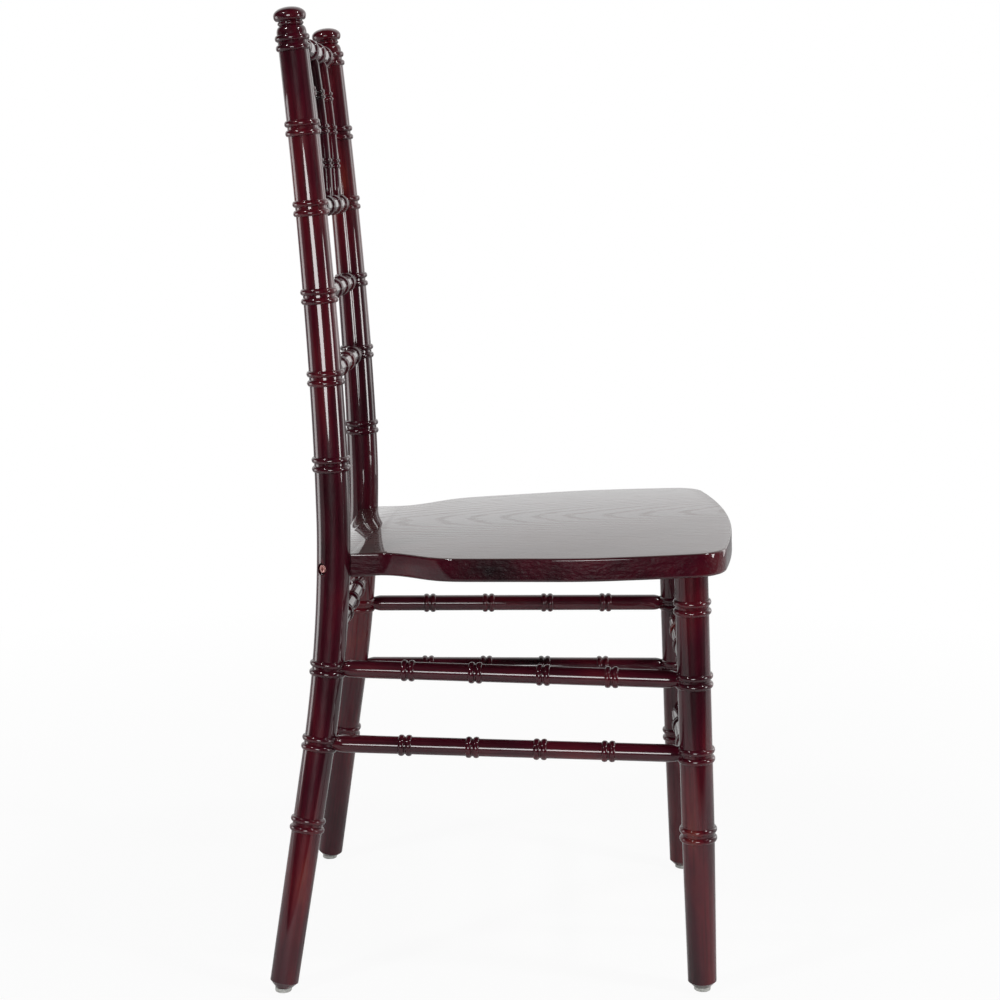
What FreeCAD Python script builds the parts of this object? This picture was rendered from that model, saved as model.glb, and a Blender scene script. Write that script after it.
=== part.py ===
# A chiavari chair: turned legs and posts, a solid wood seat and a back of turned rails and thin spindles.
# Pairs of raised rings along every turned piece stand for the joints of bamboo.
# The chair faces -Y, +Z is up, X runs across, and every length is in millimetres.
import FreeCAD, Part
import math
import os

Vector = FreeCAD.Vector
Rotation = FreeCAD.Rotation
Placement = FreeCAD.Placement
os.makedirs("parts", exist_ok=True)

# The sitter's right is -X and the sitter's left is +X
sides = {"right": -1, "left": 1}
up = Vector(0, 0, 1)

# Rear posts: upright seen from the front, bent out and back below the seat, and thickest at the seat
post_half_spread = 140.0
post_along = 163.0
post_widest_radius = 16.3
post_widest_height = 470.0
post_taper = 0.0058
bend_start = 447.0
bend_length = 222.0
bend_steps = 5
splay_across = 0.149
splay_along = 0.1446
crest_height = 895.0
back_lean = 32.0
lean_power = 1.5
post_ring_heights = [159.6, 236.9, 308.7, 506.0, 587.6, 664.2, 745.4, 818.4, crest_height]

# Front legs: upright across the chair, the feet a little ahead of the tops
leg_half_spread = 172.0
leg_foot_along = -192.75
leg_lean = 19.55 / 450.0
leg_radius = 15.7
leg_foot_radius = 13.85
leg_ring_heights = [157.1, 235.1, 307.1, 377.8]
leg_tenon_radius = 10.0
leg_tenon_length = 12.0

# Rings on the posts and legs
ring_rise = 2.3
ring_spacing = 8.7
ring_length = 6.8
ring_clear = 6.0

# Finial above the top pair of rings, as distances up the post from the crest rail's centre line
finial_base = 9.0
neck_height = 14.9
neck_radius = 10.5
collar_height = 17.4
collar_radius = 12.1
collar_half_length = 1.6
cap_bottom = 20.2
cap_radius = 15.2
cap_edge = 2.6
cap_shoulder = 25.0
cap_shoulder_length = 3.4
cap_shoulder_in = 1.8
cap_top = 32.5

# Rails, stretchers and rungs
bar_radius = 8.5
bar_ring_rise = 1.8
bar_ring_spacing = 7.2
bar_ring_length = 6.2
bar_ring_pairs = 4
bar_pair_gap = 64.8
bar_end_radius = 7.0
bar_end_taper = 6.0
bar_tenon_radius = 6.0
bar_shoulder_gap = 2.7
bar_tenon_stop = 3.0
bar_socket_reach = 24.0
front_rung_heights = {"lower": 187.0, "upper": 291.5}
rear_rung_height = 337.0

# Spindles between the crest rail and the rail under it
spindle_spread = 69.5
spindle_radius = 4.75
spindle_ring_rise = 1.6
spindle_ring_spacing = 5.2
spindle_ring_length = 4.6
spindle_ring_pairs = 3
spindle_bow = 2.3
spindle_end_taper = 3.0
spindle_tenon_radius = 3.5
spindle_shoulder = 8.7
spindle_tenon_stop = 1.5

# Seat: a flat board, higher in front, notched round the rear posts
seat_thickness = 22.5
seat_middle_height = 424.75
seat_tilt = 2.389
seat_rear = 165.5
seat_front = -223.1
seat_rear_half_width = 137.0
seat_half_width = 200.0
seat_widest_along = -93.0
seat_side_radius = 855.0
seat_front_radius = 930.0
seat_corner_radius = 34.0
seat_waist = [(137.0, 123.0), (153.0, 90.5), (174.5, 61.5), (183.0, 30.0), (190.5, -16.0)]
seat_edge_round = 2.5
post_notch_gap = 0.25

# Seat screws, one through each rear post into the corner of the seat
screw_height = 406.5
screw_turn = 40.0
screw_head_radius = 4.0
screw_head_seat = 12.0
screw_head_thickness = 2.2
screw_shank_radius = 2.3
screw_reach = 46.0
screw_bore_length = 12.0
counterbore_radius = 5.75

# Foot glides, each a disc nailed under a leg
glide_radius = 8.0
glide_thickness = 4.0
glide_edge = 0.8
glide_nail_radius = 1.2
glide_nail_length = 14.0
foot_edge_height = 9.5
foot_edge_slope = 0.98

# Room left between a piece and the hole that it sits in
hole_gap = 0.1


# Centre lines
def post_centre(height, side):
    """The point on a rear post's centre line at this height."""
    below = max(bend_start - height, 0.0)
    drift = below - bend_length / 2
    if below < bend_length:
        drift = below * below / (2 * bend_length)
    rise = max(height - bend_start, 0.0) / (crest_height - bend_start)
    across = post_half_spread + splay_across * drift
    along = post_along + splay_along * drift + back_lean * rise ** lean_power
    return Vector(side * across, along, height)


def post_radius(height):
    """The plain radius of a rear post at this height."""
    return post_widest_radius - post_taper * abs(height - post_widest_height)


def post_direction(height, side):
    """The upward direction of a rear post at this height."""
    step = Vector(post_centre(height + 0.5, side) - post_centre(height - 0.5, side))
    return step.normalize()


def leg_centre(height, side):
    """The point on a front leg's centre line at this height."""
    return Vector(side * leg_half_spread, leg_foot_along + leg_lean * height, height)


# Turned pieces
def ring_pair(middle, radius, rise, spacing, length):
    """Stations (place along the piece, radius) of two raised rings with a groove between them."""
    outer = (spacing + length) / 2
    return [
        (middle - outer, radius),
        (middle - spacing / 2, radius + rise),
        (middle, radius),
        (middle + spacing / 2, radius + rise),
        (middle + outer, radius),
    ]


def turned_straight(stations, start, direction):
    """A turned solid from its stations, with its axis from start along direction."""
    outline = [Vector(radius, 0, place) for place, radius in stations]
    first = Vector(0, 0, stations[0][0])
    last = Vector(0, 0, stations[-1][0])
    face = Part.Face(Part.makePolygon([first] + outline + [last, first]))
    solid = face.revolve(Vector(0, 0, 0), up, 360)
    solid.Placement = Placement(start, Rotation(up, direction))
    return solid


def turned_bent(sections):
    """A turned solid on a bent axis, from sections (centre, direction, radius) in order."""
    wires = []
    for centre, direction, radius in sections:
        circle = Part.makeCircle(radius)
        circle.Placement = Placement(centre, Rotation(up, direction))
        wires.append(Part.Wire(circle))
    return Part.makeLoft(wires, True, True)


def turned_bar(start, end, start_radius, end_radius):
    """A rail, stretcher or rung with ring pairs and a tenon at each end, between two legs' centres."""
    span = end - start
    first = start_radius + bar_shoulder_gap
    last = span.Length - end_radius - bar_shoulder_gap
    stations = [
        (bar_tenon_stop, bar_tenon_radius),
        (first, bar_tenon_radius),
        (first, bar_end_radius),
        (first + bar_end_taper, bar_radius),
    ]
    gap = min(span.Length / (bar_ring_pairs + 1), bar_pair_gap)
    for number in range(bar_ring_pairs):
        middle = span.Length / 2 + gap * (number - (bar_ring_pairs - 1) / 2)
        stations += ring_pair(middle, bar_radius, bar_ring_rise, bar_ring_spacing, bar_ring_length)
    stations += [
        (last - bar_end_taper, bar_radius),
        (last, bar_end_radius),
        (last, bar_tenon_radius),
        (span.Length - bar_tenon_stop, bar_tenon_radius),
    ]
    return turned_straight(stations, start, span)


def bar_socket(start, end):
    """The hole at start for the tenon of a bar that runs towards end."""
    way = Vector(end - start).normalize()
    bottom = bar_tenon_stop - 1.0
    return Part.makeCylinder(
        bar_tenon_radius + hole_gap, bar_socket_reach - bottom, start + way * bottom, way)


# Where the rails, stretchers and rungs run: the two points on the legs' centre lines
# and the legs' radii there
rail_rings = {"crest_rail": 8, "second_back_rail": 6, "third_back_rail": 5, "fourth_back_rail": 4}
stretcher_rings = {"lower": 1, "upper": 2}
bars = {}
for name, ring in rail_rings.items():
    height = post_ring_heights[ring]
    radius = post_radius(height)
    bars[name] = (post_centre(height, -1), post_centre(height, 1), radius, radius)
radius = post_radius(rear_rung_height)
bars["rear_rung"] = (post_centre(rear_rung_height, -1), post_centre(rear_rung_height, 1), radius, radius)
for level, height in front_rung_heights.items():
    bars["front_rung_" + level] = (leg_centre(height, -1), leg_centre(height, 1), leg_radius, leg_radius)
for side_name, side in sides.items():
    for level, ring in stretcher_rings.items():
        height = post_ring_heights[ring]
        rear_end = post_centre(height, side)
        front_end = leg_centre(leg_ring_heights[ring], side)
        name = "side_stretcher_" + level + "_" + side_name
        bars[name] = (rear_end, front_end, post_radius(height), leg_radius)

parts = {name: turned_bar(*run) for name, run in bars.items()}


def sockets_along(centre_line, side):
    """The sockets of every bar that ends on this centre line."""
    sockets = []
    for start, end, start_radius, end_radius in bars.values():
        for near, far in ((start, end), (end, start)):
            if near.distanceToPoint(centre_line(near.z, side)) < 0.01:
                sockets.append(bar_socket(near, far))
    return sockets


# Spindles, bowed a little forward, and their holes in the two top rails
crest_middle = (bars["crest_rail"][0] + bars["crest_rail"][1]) / 2
second_middle = (bars["second_back_rail"][0] + bars["second_back_rail"][1]) / 2
rail_gap = (crest_middle - second_middle).Length


def spindle_centre(place, across):
    """The point this far down a spindle's line, from the crest rail's centre to the next rail's."""
    share = place / rail_gap
    point = crest_middle + (second_middle - crest_middle) * share
    return Vector(across, point.y - spindle_bow * math.sin(math.pi * share), point.z)


def spindle(across):
    """One thin spindle with its ring pairs and a tenon at each end."""
    taper_end = spindle_shoulder + spindle_end_taper
    stations = [
        (spindle_tenon_stop, spindle_tenon_radius),
        (spindle_shoulder, spindle_tenon_radius),
        (taper_end, spindle_radius),
    ]
    clear = rail_gap - 2 * spindle_shoulder
    for number in range(1, spindle_ring_pairs + 1):
        middle = spindle_shoulder + clear * number / (spindle_ring_pairs + 1)
        stations += ring_pair(
            middle, spindle_radius, spindle_ring_rise, spindle_ring_spacing, spindle_ring_length)
    stations += [
        (rail_gap - taper_end, spindle_radius),
        (rail_gap - spindle_shoulder, spindle_tenon_radius),
        (rail_gap - spindle_tenon_stop, spindle_tenon_radius),
    ]
    sections = []
    for place, radius in stations:
        way = Vector(spindle_centre(place + 0.5, across) - spindle_centre(place - 0.5, across))
        sections.append((spindle_centre(place, across), way.normalize(), radius))
    return turned_bent(sections)


def spindle_socket(across, near, far):
    """The hole for a spindle's tenon, from one place on its line towards another."""
    start = spindle_centre(near, across)
    way = Vector(spindle_centre(far, across) - start).normalize()
    return Part.makeCylinder(spindle_tenon_radius + hole_gap, bar_radius + 4, start, way)


spindle_places = {"right": -spindle_spread, "centre": 0.0, "left": spindle_spread}
for name, across in spindle_places.items():
    parts["back_spindle_" + name] = spindle(across)
    crest_hole = spindle_socket(across, 0, spindle_shoulder)
    second_hole = spindle_socket(across, rail_gap, rail_gap - spindle_shoulder)
    parts["crest_rail"] = parts["crest_rail"].cut(crest_hole)
    parts["second_back_rail"] = parts["second_back_rail"].cut(second_hole)


# Foot glides
def glide(foot, direction):
    """A disc with a softened lower edge and a nail that runs up the leg."""
    stations = [
        (0, glide_radius - glide_edge),
        (glide_edge, glide_radius),
        (glide_thickness, glide_radius),
    ]
    disc = turned_straight(stations, Vector(foot.x, foot.y, 0), up)
    start = foot - direction * glide_nail_radius
    nail = Part.makeCylinder(glide_nail_radius, glide_nail_length, start, direction)
    return disc.fuse(nail).removeSplitter()


def nail_hole(foot, direction):
    """The hole in a foot that the glide's nail sits in."""
    start = foot - direction * 3
    return Part.makeCylinder(glide_nail_radius + hole_gap, glide_nail_length + 3.5, start, direction)


# Rear posts
def finial(side):
    """The turned top of a post: a hollow neck, a thin collar and a round-topped cap."""
    def at(radius, place):
        return Vector(radius, 0, place)

    base_radius = post_radius(crest_height)
    cove_middle = at(neck_radius + 0.9, (finial_base + neck_height) / 2 - 0.4)
    cove = Part.Arc(at(base_radius, finial_base), cove_middle, at(neck_radius, neck_height))
    dome_rim = at(cap_radius - cap_shoulder_in, cap_shoulder + cap_shoulder_length)
    dome_rise = cap_top - dome_rim.z
    dome_radius = (dome_rim.x ** 2 + dome_rise ** 2) / (2 * dome_rise)
    half = math.asin(dome_rim.x / dome_radius) / 2
    dome_middle = at(dome_radius * math.sin(half), cap_top - dome_radius * (1 - math.cos(half)))
    dome = Part.Arc(dome_rim, dome_middle, at(0, cap_top))
    corners = [
        at(neck_radius, neck_height),
        at(neck_radius, collar_height - collar_half_length),
        at(collar_radius, collar_height),
        at(neck_radius + 0.5, collar_height + collar_half_length),
        at(cap_radius - cap_edge, cap_bottom),
        at(cap_radius, cap_bottom + cap_edge),
        at(cap_radius, cap_shoulder),
        dome_rim,
    ]
    edges = [Part.makeLine(at(0, finial_base), at(base_radius, finial_base)), cove.toShape()]
    edges += [Part.makeLine(low, high) for low, high in zip(corners, corners[1:])]
    edges += [dome.toShape(), Part.makeLine(at(0, cap_top), at(0, finial_base))]
    solid = Part.Face(Part.Wire(edges)).revolve(Vector(0, 0, 0), up, 360)
    crest = post_centre(crest_height, side)
    solid.Placement = Placement(crest, Rotation(up, post_direction(crest_height, side)))
    return solid


def post_stations():
    """Stations (height, radius) of a rear post from the floor to the top ring pair."""
    foot_radius = post_radius(foot_edge_height)
    stations = [(0, foot_radius - foot_edge_height * foot_edge_slope), (foot_edge_height, foot_radius)]
    for height in post_ring_heights:
        rise = post_direction(height, 1).z
        pair = ring_pair(0, post_radius(height), ring_rise, ring_spacing, ring_length)
        stations += [(height + place * rise, radius) for place, radius in pair]
    ring_zone = (ring_spacing + ring_length) / 2 + ring_clear
    for number in range(bend_steps + 1):
        height = bend_start - bend_length * number / bend_steps
        if min(abs(height - ring) for ring in post_ring_heights) > ring_zone:
            stations.append((height, post_radius(height)))
    return sorted(stations)


def rear_post(side):
    """One rear post with its foot cut level and its finial on top."""
    sections = []
    for height, radius in post_stations():
        sections.append((post_centre(height, side), post_direction(height, side), radius))
    way = post_direction(crest_height, side)
    neck_start = post_centre(crest_height, side) + way * finial_base
    sections.append((neck_start, way, post_radius(crest_height)))
    shaft = turned_bent(sections)
    foot = post_centre(glide_thickness, side)
    waste = Part.makeBox(80, 80, 40, Vector(foot.x - 40, foot.y - 40, glide_thickness - 40))
    return shaft.cut(waste).fuse(finial(side))


# Front legs
def front_leg(side):
    """One front leg with its ring pairs, a tenon on top and its foot cut level."""
    foot = leg_centre(0, side)
    direction = Vector(leg_centre(1, side) - foot).normalize()
    stretch = 1 / direction.z
    under_seat = seat_underside(leg_centre(seat_middle_height, side).y) - hole_gap
    top = under_seat * stretch
    stations = [
        (0, leg_foot_radius - foot_edge_height * foot_edge_slope),
        (foot_edge_height, leg_foot_radius),
    ]
    for height in leg_ring_heights:
        stations += ring_pair(height * stretch, leg_radius, ring_rise, ring_spacing, ring_length)
    stations += [
        (top, leg_radius),
        (top, leg_tenon_radius),
        (top + leg_tenon_length, leg_tenon_radius),
    ]
    leg = turned_straight(stations, foot, direction)
    waste = Part.makeBox(80, 80, 40, Vector(foot.x - 40, foot.y - 40, glide_thickness - 40))
    return leg.cut(waste)


# Seat
def seat_underside(along):
    """The height of the seat's underside at this place along Y."""
    tilt = math.radians(seat_tilt)
    return seat_middle_height - along * math.tan(tilt) - seat_thickness / math.cos(tilt)


def circle_meeting(first, first_radius, second, second_radius):
    """The point at these distances from two centres that lies furthest to the sitter's left."""
    apart = second - first
    along = (first_radius ** 2 - second_radius ** 2 + apart.Length ** 2) / (2 * apart.Length)
    away = math.sqrt(first_radius ** 2 - along ** 2)
    way = Vector(apart).normalize()
    return first + way * along + Vector(way.y, -way.x, 0) * away


def seat_outline():
    """The seat's outline in plan, drawn for the left half and mirrored for the right."""
    widest = Vector(seat_half_width, seat_widest_along, 0)
    side_centre = widest - Vector(seat_side_radius, 0, 0)
    front_centre = Vector(0, seat_front + seat_front_radius, 0)
    side_reach = seat_side_radius - seat_corner_radius
    front_reach = seat_front_radius - seat_corner_radius
    corner = circle_meeting(side_centre, side_reach, front_centre, front_reach)
    side_way = Vector(corner - side_centre).normalize()
    front_way = Vector(corner - front_centre).normalize()
    corner_start = side_centre + side_way * seat_side_radius
    corner_end = front_centre + front_way * seat_front_radius
    corner_middle = corner + Vector(side_way + front_way).normalize() * seat_corner_radius
    side_turn = math.atan2(side_way.y, side_way.x) / 2
    side_middle = side_centre + Vector(math.cos(side_turn), math.sin(side_turn), 0) * seat_side_radius
    waist = [Vector(x, y, 0) for x, y in seat_waist]
    waist_curve = Part.BSplineCurve()
    forward = Vector(0, -1, 0)
    waist_curve.interpolate(Points=waist + [widest], InitialTangent=forward, FinalTangent=forward)
    rear_corner = Vector(seat_rear_half_width, seat_rear, 0)
    left = [
        Part.makeLine(rear_corner, waist[0]),
        waist_curve.toShape(),
        Part.Arc(widest, side_middle, corner_start).toShape(),
        Part.Arc(corner_start, corner_middle, corner_end).toShape(),
    ]
    right = [edge.mirror(Vector(0, 0, 0), Vector(1, 0, 0)) for edge in left]
    front_end = Vector(-corner_end.x, corner_end.y, 0)
    front = Part.Arc(corner_end, Vector(0, seat_front, 0), front_end).toShape()
    rear = Part.makeLine(Vector(-rear_corner.x, rear_corner.y, 0), rear_corner)
    return Part.Wire(Part.__sortEdges__([rear] + left + [front] + right))


def seat_board():
    """The seat board with softened edges, tilted and lifted into place."""
    board = Part.Face(seat_outline()).extrude(Vector(0, 0, -seat_thickness))
    rim = []
    for edge in board.Edges:
        low = edge.BoundBox.ZMin
        high = edge.BoundBox.ZMax
        if high - low < 0.01 and edge.BoundBox.YMin < seat_rear - 1:
            rim.append(edge)
    board = board.makeFillet(seat_edge_round, rim)
    tilt = Rotation(Vector(1, 0, 0), -seat_tilt)
    board.Placement = Placement(Vector(0, 0, seat_middle_height), tilt)
    return board


def post_notch(side):
    """The round notch in the seat's corner that fits the rear post."""
    way = post_direction(screw_height, side)
    reach = 2 * seat_thickness
    start = post_centre(screw_height, side) - way * reach
    return Part.makeCylinder(post_radius(screw_height) + post_notch_gap, 2 * reach, start, way)


def leg_mortise(side):
    """The blind round hole under the seat for a front leg's tenon."""
    top = leg_centre(seat_underside(leg_centre(seat_middle_height, side).y), side)
    way = Vector(top - leg_centre(0, side)).normalize()
    over = 5.0
    depth = over + leg_tenon_length + 1.0
    return Part.makeCylinder(leg_tenon_radius + hole_gap, depth, top - way * over, way)


# Seat screws
def screw_axis(side):
    """A seat screw's start on the post's centre line and its direction into the seat."""
    turn = math.radians(screw_turn)
    inward = Vector(-side * math.cos(turn), -math.sin(turn), 0)
    return post_centre(screw_height, side), inward


def screw(side):
    """One seat screw, its head sunk in the post."""
    start, inward = screw_axis(side)
    stations = [
        (-screw_head_seat - screw_head_thickness, screw_head_radius - 0.7),
        (-screw_head_seat - screw_head_thickness + 0.9, screw_head_radius),
        (-screw_head_seat, screw_head_radius),
        (-screw_head_seat, screw_shank_radius),
        (screw_reach - 6, screw_shank_radius),
        (screw_reach, 0.4),
    ]
    return turned_straight(stations, start, inward)


def screw_holes(side):
    """The counterbore and the long hole for one seat screw."""
    start, inward = screw_axis(side)
    length = screw_head_seat + screw_reach + 1.5
    hole = Part.makeCylinder(
        screw_shank_radius + hole_gap, length, start - inward * screw_head_seat, inward)
    mouth = start - inward * (screw_head_seat + screw_bore_length)
    bore = Part.makeCylinder(counterbore_radius, screw_bore_length, mouth, inward)
    return hole, bore


seat = seat_board()
for side_name, side in sides.items():
    hole, bore = screw_holes(side)
    post_foot = post_centre(glide_thickness, side)
    post_foot_way = post_direction(glide_thickness, side)
    leg_foot = leg_centre(glide_thickness, side)
    leg_way = Vector(leg_centre(100, side) - leg_foot).normalize()
    post_cuts = sockets_along(post_centre, side) + [hole, bore, nail_hole(post_foot, post_foot_way)]
    leg_cuts = sockets_along(leg_centre, side) + [nail_hole(leg_foot, leg_way)]
    parts["rear_post_" + side_name] = rear_post(side).cut(post_cuts)
    parts["front_leg_" + side_name] = front_leg(side).cut(leg_cuts)
    parts["rear_glide_" + side_name] = glide(post_foot, post_foot_way)
    parts["front_glide_" + side_name] = glide(leg_foot, leg_way)
    seat = seat.cut([post_notch(side), leg_mortise(side), hole])
parts["seat"] = seat
parts["seat_screws"] = Part.makeCompound([screw(side) for side in sides.values()])

for name, shape in parts.items():
    shape.exportStep("parts/" + name + ".step")
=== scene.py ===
import bmesh
import bpy
import math
import numpy
from mathutils import Matrix, Vector


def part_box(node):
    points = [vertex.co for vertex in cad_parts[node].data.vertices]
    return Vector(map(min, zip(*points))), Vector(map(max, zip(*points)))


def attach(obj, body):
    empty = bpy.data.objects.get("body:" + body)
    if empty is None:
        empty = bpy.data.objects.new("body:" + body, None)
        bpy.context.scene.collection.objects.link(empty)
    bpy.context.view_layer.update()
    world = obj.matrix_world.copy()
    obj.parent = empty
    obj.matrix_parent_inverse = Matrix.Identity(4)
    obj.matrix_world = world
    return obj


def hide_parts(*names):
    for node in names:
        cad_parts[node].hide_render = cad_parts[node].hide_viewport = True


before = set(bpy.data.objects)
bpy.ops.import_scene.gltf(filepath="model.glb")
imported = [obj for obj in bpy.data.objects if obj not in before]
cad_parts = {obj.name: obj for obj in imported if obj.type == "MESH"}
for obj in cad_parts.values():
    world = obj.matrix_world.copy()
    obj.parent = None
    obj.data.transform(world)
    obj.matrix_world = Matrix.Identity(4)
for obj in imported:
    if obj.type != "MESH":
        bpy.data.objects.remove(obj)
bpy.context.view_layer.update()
up = Vector((0, 0, 1))
sides = {"right": -1, "left": 1}

# The camera stands on the sitter's right, lower than the chair's top and tipped down a little,
# as in the photograph. Its place was worked out from the ring pairs and feet of all four legs.
camera_place = Vector((-2.0008, -0.0577, 0.7787))
camera_turn = math.radians(1.92)
camera_dip = math.radians(9.35)
camera_roll = math.radians(0.08)
focal_pixels = 1993.86
picture_pixels = 1000.0
sensor_width = 36.0
level = Vector((math.cos(camera_turn), math.sin(camera_turn), 0))
sight = level * math.cos(camera_dip) - up * math.sin(camera_dip)
across = Vector((math.sin(camera_turn), -math.cos(camera_turn), 0))
upward = up * math.cos(camera_dip) + level * math.sin(camera_dip)
camera_right = across * math.cos(camera_roll) + upward * math.sin(camera_roll)
camera_up = upward * math.cos(camera_roll) - across * math.sin(camera_roll)
camera = bpy.data.objects.new("camera", bpy.data.cameras.new("camera"))
camera.data.sensor_width = sensor_width
camera.data.lens = focal_pixels / picture_pixels * sensor_width
turned_to_view = Matrix((camera_right, camera_up, -sight)).transposed().to_4x4()
camera.matrix_world = Matrix.Translation(camera_place) @ turned_to_view
bpy.context.scene.collection.objects.link(camera)
bpy.context.scene.camera = camera
bpy.context.scene.view_settings.view_transform = "Standard"


# Shader and shape trees are written with these two helpers. A Signal is the output of a node,
# and arithmetic on Signals adds the Math nodes that it needs.
class Signal:
    """The output of a node, with arithmetic."""

    def __init__(self, socket):
        self.socket = socket

    def maths(self, operation, *others):
        """A Math node of this operation on this signal and the others."""
        values = {number: other for number, other in enumerate((self,) + others)}
        return Tree(self.socket.id_data).add("ShaderNodeMath", {"operation": operation}, values)["Value"]

    def __add__(self, other):
        return self.maths("ADD", other)

    def __radd__(self, other):
        return self + other

    def __sub__(self, other):
        return self.maths("SUBTRACT", other)

    def __rsub__(self, other):
        return self * -1 + other

    def __mul__(self, other):
        return self.maths("MULTIPLY", other)

    def __rmul__(self, other):
        return self * other

    def __truediv__(self, other):
        return self.maths("DIVIDE", other)

    def between(self, low, high):
        """0 below low, 1 above high, and a straight rise from one to the other."""
        settings = {"clamp": True}
        values = {"Value": self, "From Min": low, "From Max": high}
        return Tree(self.socket.id_data).add("ShaderNodeMapRange", settings, values)["Result"]


class Tree:
    """A node tree with one method that adds any node."""

    def __init__(self, tree):
        self.tree = tree

    def add(self, kind, settings=None, values=None):
        """Adds a node, with its settings first, and returns its outputs by name."""
        node = self.tree.nodes.new(kind)
        for name, value in (settings or {}).items():
            if name == "stops":
                self.set_stops(node.color_ramp, value)
            else:
                setattr(node, name, value)
        for key, value in (values or {}).items():
            socket = self.find(node.inputs, key)
            if isinstance(value, Signal):
                self.tree.links.new(value.socket, socket)
            else:
                socket.default_value = value
        return {output.name: Signal(output) for output in reversed(node.outputs) if output.enabled}

    def find(self, sockets, key):
        """A socket by its number or, among those in use, by its name."""
        if isinstance(key, int):
            return sockets[key]
        return next(socket for socket in sockets if socket.name == key and socket.enabled)

    def set_stops(self, ramp, stops):
        """Gives a colour ramp these stops, each a place and a colour."""
        while len(ramp.elements) < len(stops):
            ramp.elements.new(0.5)
        for element, (place, colour) in zip(ramp.elements, stops):
            element.position = place
            element.color = (*colour, 1.0)


# The lacquer on the wood: a dark mahogany stain under a thick clear gloss coat.
# The stain took unevenly, in cloudy bands along each piece, and the grain shows as faint streaks.
stain_black = (0.008, 0.0, 0.0016)
stain_maroon = (0.050, 0.0006, 0.0075)
stain_red = (0.105, 0.004, 0.0095)
stain_brown = (0.20, 0.030, 0.014)
smooth_wood_roughness = 0.34
pore_roughness = 0.12
wood_refraction = 1.45
wood_shine = 0.15
lacquer_refraction = 1.5
lacquer_roughness = 0.03


def lacquered(tree, colour, pore, ripple, ripple_strength, ripple_size, coat=1.0):
    """A stained wood surface with open pores under a gloss coat."""
    bump = tree.add("ShaderNodeBump", None, {
        "Strength": ripple_strength, "Distance": ripple_size, "Height": ripple})["Normal"]
    shader = tree.add("ShaderNodeBsdfPrincipled", None, {
        "Base Color": colour,
        "Roughness": smooth_wood_roughness + pore * pore_roughness,
        "IOR": wood_refraction,
        "Specular IOR Level": wood_shine,
        "Coat Weight": coat,
        "Coat Roughness": lacquer_roughness,
        "Coat IOR": lacquer_refraction,
        "Normal": bump,
    })["BSDF"]
    tree.add("ShaderNodeOutputMaterial", None, {"Surface": shader})


def blank_material(name):
    """A new material with an empty shader tree."""
    material = bpy.data.materials.new(name)
    material.use_nodes = True
    material.node_tree.nodes.clear()
    return material


def noise(tree, cells, scale, detail):
    """Soft noise between 0 and 1 over these cells."""
    values = {"Vector": cells, "Scale": scale, "Detail": detail}
    return tree.add("ShaderNodeTexNoise", None, values)["Fac"]


def stretched(tree, place, scale):
    """The place scaled by this much along each axis; below 1 the noise on it grows longer that way."""
    return tree.add("ShaderNodeMapping", None, {"Vector": place, "Scale": scale})["Vector"]


turned_wood = blank_material("turned_mahogany")
tree = Tree(turned_wood.node_tree)
grain = tree.add("ShaderNodeAttribute", {"attribute_name": "grain"})["Vector"]
chance = tree.add("ShaderNodeObjectInfo")["Random"]
shift = tree.add("ShaderNodeCombineXYZ", None, {"X": chance * 3.0, "Z": chance * 17.0})["Vector"]
placed = tree.add("ShaderNodeVectorMath", {"operation": "ADD"}, {0: grain, 1: shift})["Vector"]
cloud_cells = stretched(tree, placed, (1.0, 1.0, 0.30))
streak_cells = stretched(tree, placed, (1.0, 1.0, 0.03))
cloud = noise(tree, cloud_cells, 34.0, 3.0)
band = noise(tree, cloud_cells, 13.0, 2.0)
streak = noise(tree, streak_cells, 380.0, 3.0)
pore = noise(tree, streak_cells, 1500.0, 2.0)
stain_depth = (cloud * 0.5 + band * 0.5).between(0.34, 0.74)
stops = [(0.0, stain_black), (0.38, stain_maroon), (0.72, stain_red), (1.0, stain_brown)]
stain = tree.add("ShaderNodeValToRGB", {"stops": stops}, {"Fac": stain_depth})["Color"]
streak_strength = 0.35
streaked = streak.between(0.46, 0.66) * streak_strength
stained = tree.add("ShaderNodeMix", {"data_type": "RGBA"}, {
    "Factor": streaked, "A": stain, "B": (*stain_black, 1.0)})["Result"]
ripple = noise(tree, stretched(tree, placed, (1.0, 1.0, 0.35)), 210.0, 2.0) * 0.85 + streak * 0.15
lacquered(tree, stained, pore, ripple, ripple_strength=0.5, ripple_size=0.0009)

# Every leg, rail and spindle is a turned dowel with pairs of beads cut along it. The lathe below
# spaces the beads' stations along the centre line, joins them with the plain stations and skins
# the whole with one round surface, a touch thinner than the solid so that it stays inside it.
facets_round = 56
stations_per_pair = 41
lacquer_fit = 0.998


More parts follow.
